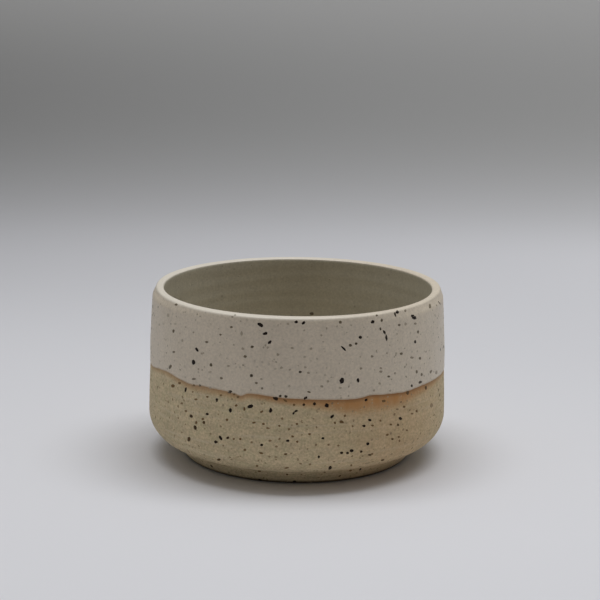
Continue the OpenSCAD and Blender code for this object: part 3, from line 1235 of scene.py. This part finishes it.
def strewn_place(surface, spot, normal, long, wide, lean):
    """Lays a grain of a real size at a spot on the surface."""
    level = Vector((0, 0, 1)).cross(normal)
    if level.length < SLOPE_LEAST:
        level = Vector((1, 0, 0))
    level.normalize()
    upright = normal.cross(level)
    one = level * math.cos(lean) + upright * math.sin(lean)
    other = upright * math.cos(lean) - level * math.sin(lean)

    def place(along, beside):
        aim = spot + (one * along * long + other * beside * wide) * MM / 2
        return surface.find_nearest(aim)[:2]

    return place


def corner_numbers(face):
    """A face's points in the order of their numbers, which is the same on each run."""
    return sorted(face.vertices)


def strewn(mesh, piece, per_mm2, allowed, taken):
    """Random grains over the faces of a piece, clear of the places taken.

    What allowed gives for a face is how dark they may be there, and 0 where there are none.
    """
    surface = surface_of(piece)
    faces = []
    for face in sorted(piece.data.polygons, key=corner_numbers):
        limit = allowed(face)
        if limit > 0:
            faces.append((face, limit))
    areas = [face.area for face, _ in faces]
    count = round(sum(areas) / MM**2 * per_mm2)
    corners = piece.data.vertices
    for face, limit in chance.choices(faces, weights=areas, k=count):
        numbers = corner_numbers(face)
        shares = [chance.random() for _ in numbers]
        spot = sum((corners[v].co * s for v, s in zip(numbers, shares)), Vector()) / sum(shares)
        strength = chance.random()
        dark = limit * (STREWN_DARK_LEAST + (1 - STREWN_DARK_LEAST) * strength)
        long = STREWN_LONG_LEAST + STREWN_LONG_MORE * strength**2 * limit
        wide = long * chance.uniform(*STREWN_WIDE)
        lean = chance.uniform(0, math.pi)
        bulges = rough_edge()
        if all((spot - other).length > GRAIN_CLEAR * MM for other in taken):
            place = strewn_place(surface, spot, face.normal, long, wide, lean)
            lay_grain(mesh, dark, bulges, place)


def grain_mesh():
    mesh = bmesh.new()
    mesh.verts.layers.float.new("dark")
    return mesh


def skin_faces(piece):
    """The faces on the outer side of a coat, by number."""
    values = piece.data.attributes["skin"].data
    return {f.index for f in piece.data.polygons if all(values[v].value > 0.5 for v in f.vertices)}


coat_skin = skin_faces(coat)
liner_skin = skin_faces(liner)


def on_coat(face):
    if face.index not in coat_skin or face.center.z / MM > lip_shoulder_centre[1]:
        return 0
    return FRONT_GLAZE if abs(turn_of(face.center)) < FRONT_TURN else 1


def on_clay(face):
    spot = face.center
    up = spot.z / MM
    hidden = up > dip_line(turn_of(spot)) - EDGE_CLEAR
    inwards = face.normal.z > FACES_UP or face.normal.x * spot.x + face.normal.y * spot.y < 0
    in_well = inwards and up > FLOOR_Z - EDGE_CLEAR
    if hidden or in_well or up < TABLE_CLEAR:
        return 0
    seen = abs(turn_of(spot)) < FRONT_TURN and up > FOOT_H
    return FRONT_CLAY if seen else 1


def on_liner(face):
    if face.index not in liner_skin:
        return 0
    return WELL_WALL if face.center.z / MM > FLOOR_Z + WELL_FLOOR_H else WELL_FLOOR


def faint_on_coat(face):
    return FAINT_GLAZE if on_coat(face) else 0


def faint_on_clay(face):
    return FAINT_CLAY if on_clay(face) else 0


outer_surface = surface_of(coat, clay)
glaze_grains = grain_mesh()
clay_grains = grain_mesh()
liner_grains = grain_mesh()
taken = []
lay_seen(glaze_grains, outer_surface, GLAZE_GRAINS, taken)
lay_seen(clay_grains, outer_surface, CLAY_GRAINS, taken)
lay_seen(liner_grains, surface_of(liner), LINER_GRAINS, taken)
strewn(glaze_grains, coat, GLAZE_PER_MM2, on_coat, taken)
strewn(glaze_grains, coat, FAINT_GLAZE_PER_MM2, faint_on_coat, taken)
strewn(clay_grains, clay, CLAY_PER_MM2, on_clay, taken)
strewn(clay_grains, clay, FAINT_CLAY_PER_MM2, faint_on_clay, taken)
strewn(liner_grains, liner, LINER_PER_MM2, on_liner, taken)
glaze_grain = grain_material("glaze_grain", GLAZE_TONE, GLAZE_VEIL_TONE, GLAZED_GRAIN_ROUGHNESS)
clay_grain = grain_material("clay_grain", CLAY_TONE, CLAY_VEIL_TONE, CLAY_GRAIN_ROUGHNESS)
liner_grain = grain_material("liner_grain", LINER_SHADED_TONE, LINER_VEIL_TONE, GLAZED_GRAIN_ROUGHNESS)
glaze_specks = into_scene("glaze_specks", glaze_grains, glaze_grain)
clay_specks = into_scene("clay_specks", clay_grains, clay_grain)
liner_specks = into_scene("liner_specks", liner_grains, liner_grain)
bpy.data.meshes.remove(chip)

# Each piece rides on the mug, and the three turned pieces stand for their solids, which are hidden
for piece, node, slot in (
    (clay, "clay_body", "bare_clay"),
    (coat, "outer_glaze", "dipped_glaze"),
    (liner, "liner_glaze", "liner_glaze"),
):
    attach(piece, "root")
    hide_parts(node)
for piece, slot in (
    (glaze_specks, "dipped_glaze"),
    (clay_specks, "bare_clay"),
    (liner_specks, "liner_glaze"),
):
    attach(piece, "root")

# Stage: a pale table that sweeps up far behind the mug
STAGE_FRONT = -3.5
STAGE_BACK = 0.45
STAGE_HALF_W = 3.5
STAGE_BEND = 0.8
STAGE_TOP = 1.4
STAGE_BEND_STEPS = 48
TABLE_TONE = tone(227, 227, 231)
# Painted shade and light on the stage: darker farther back, lighter high on the backdrop
FAR_TABLE_SHADE_TONE = tone(206, 206, 210)
BACKDROP_SHADE_TONE = tone(160, 160, 160)
HIGH_BACKDROP_LIGHT_TONE = tone(198, 198, 198)
FAR_TABLE = Ramp(-0.2, 0.4)
BACKDROP = Ramp(0.33, 0.7)
HIGH_BACKDROP = Ramp(0.04, 0.16)
SIDE_FADE_BEHIND = Ramp(0.1, 0.4)
SIDE_FADE_UP = Ramp(0.02, 0.14, at_low=0.7, at_high=0.25)
STAGE_ROUGHNESS = 0.9
STAGE_SHINE = 0.1


def stage_material():
    """Pale table and grey backdrop with painted shade and light: darker farther behind the mug, lighter
    again high up, and a little lighter to the right far behind the mug.
    """
    material, tree, shader, where = blank("pale_table")
    axis = axes(tree, where)
    body = blend(tree, ranged(tree, axis["Y"], FAR_TABLE), opaque(TABLE_TONE), opaque(FAR_TABLE_SHADE_TONE))
    body = blend(tree, ranged(tree, axis["Y"], BACKDROP), body, opaque(BACKDROP_SHADE_TONE))
    body = blend(tree, ranged(tree, axis["Z"], HIGH_BACKDROP), body, opaque(HIGH_BACKDROP_LIGHT_TONE))
    # Painted light: lighter to the right and darker to the left, far behind the mug
    behind = ranged(tree, axis["Y"], SIDE_FADE_BEHIND)
    fade = maths(tree, "MULTIPLY", behind, ranged(tree, axis["Z"], SIDE_FADE_UP))
    light = maths(tree, "MULTIPLY_ADD", axis["X"], fade, 1.0)
    body = blend(tree, 1.0, body, grey(tree, light), "MULTIPLY")
    tree.links.new(body, shader.inputs["Base Color"])
    shader.inputs["Roughness"].default_value = STAGE_ROUGHNESS
    shader.inputs["Specular IOR Level"].default_value = STAGE_SHINE
    return material


def stage_sweep():
    mesh = bmesh.new()
    tip = mesh.verts.new((-STAGE_HALF_W, STAGE_FRONT, 0))
    run = bmesh.ops.extrude_vert_indiv(mesh, verts=[tip])["verts"][0]
    run.co = (-STAGE_HALF_W, STAGE_BACK, 0)
    bend = bmesh.ops.spin(
        mesh,
        geom=[run],
        cent=(0, STAGE_BACK, STAGE_BEND),
        axis=(1, 0, 0),
        angle=math.pi / 2,
        steps=STAGE_BEND_STEPS,
    )
    end = next(part for part in bend["geom_last"] if isinstance(part, bmesh.types.BMVert))
    top = bmesh.ops.extrude_vert_indiv(mesh, verts=[end])["verts"][0]
    top.co.z = STAGE_TOP
    across = bmesh.ops.extrude_edge_only(mesh, edges=mesh.edges[:])["geom"]
    moved = [part for part in across if isinstance(part, bmesh.types.BMVert)]
    bmesh.ops.translate(mesh, vec=(2 * STAGE_HALF_W, 0, 0), verts=moved)
    bmesh.ops.recalc_face_normals(mesh, faces=mesh.faces)
    return into_scene("table_sweep", mesh, stage_material())


stage_sweep()

# Light: a soft lamp overhead, a little behind and to the right, under a pale ceiling in a dim room
LAMP_PLACE = (0.1, 0.09, 1.02)
LAMP_W = 1.25
LAMP_DEPTH = 0.36
LAMP_POWER = 6.95
LAMP_TONE = (0.96, 0.98, 1.0)
ROOM_TONE = (1.0, 0.84, 0.68)
SIDE_TONE = (0.92, 0.97, 1.0)
CEILING_TONE = (0.98, 0.99, 1.0)
FRONT_LIGHT = 0.045
FULL_RIGHT_LIGHT = 0.24
LEFT_LIGHT = Ramp(-0.9, -0.2, at_low=0.28, at_high=FRONT_LIGHT)
RIGHT_LIGHT = Ramp(0.5, 0.95, at_low=0.0, at_high=FULL_RIGHT_LIGHT - FRONT_LIGHT)
CEILING_LIGHT = Ramp(-0.6, 0.6, at_low=0.48, at_high=0.5)
CEILING_FRONT = 0.62
SIDES = Ramp(0.2, 0.9)
CEILING = Ramp(0.5, 0.8)
FRONT = Ramp(-0.6, 0.1, at_low=1.0, at_high=0.0)
FAR_TONE = tone(200, 200, 202)

lamp_data = bpy.data.lights.new("overhead_lamp", "AREA")
lamp_data.shape = "ELLIPSE"
lamp_data.size = LAMP_W
lamp_data.size_y = LAMP_DEPTH
lamp_data.energy = LAMP_POWER
lamp_data.color = LAMP_TONE
lamp = bpy.data.objects.new("overhead_lamp", lamp_data)
lamp.matrix_world = Matrix.Translation(LAMP_PLACE)
bpy.context.scene.collection.objects.link(lamp)

world = bpy.data.worlds.new("weak_room")
bpy.context.scene.world = world
world.use_nodes = True
room = world.node_tree
room.nodes.clear()
toward = add(room, "TexCoord").outputs["Generated"]
axis = axes(room, toward)
left = ranged(room, axis["X"], LEFT_LIGHT)
right = ranged(room, axis["X"], RIGHT_LIGHT)
beside = ranged(room, maths(room, "ABSOLUTE", axis["X"]), SIDES)
walls = blend(room, beside, opaque(ROOM_TONE), opaque(SIDE_TONE))
overhead = ranged(room, axis["Z"], CEILING)
front = ranged(room, axis["Y"], FRONT)
hue = blend(room, overhead, walls, opaque(CEILING_TONE))
hue = blend(room, front, hue, walls)
low = maths(room, "MULTIPLY", maths(room, "ADD", left, right), maths(room, "SUBTRACT", 1.0, overhead))
ceiling = ranged(room, axis["X"], CEILING_LIGHT)
ceiling = maths(room, "MULTIPLY", ceiling, maths(room, "MULTIPLY_ADD", front, CEILING_FRONT - 1, 1.0))
high = maths(room, "MULTIPLY", ceiling, overhead)
warm = add(room, "Background", {"Color": hue, "Strength": maths(room, "ADD", low, high)}).outputs[0]
pale = add(room, "Background", {"Color": opaque(FAR_TONE), "Strength": 1.0}).outputs[0]
rays = add(room, "LightPath").outputs["Is Camera Ray"]
mixed = add(room, "MixShader")
for end, value in zip(mixed.inputs, (rays, warm, pale)):
    feed(room, end, value)
feed(room, add(room, "OutputWorld").inputs["Surface"], mixed.outputs[0])

bpy.context.scene.view_settings.view_transform = "Standard"
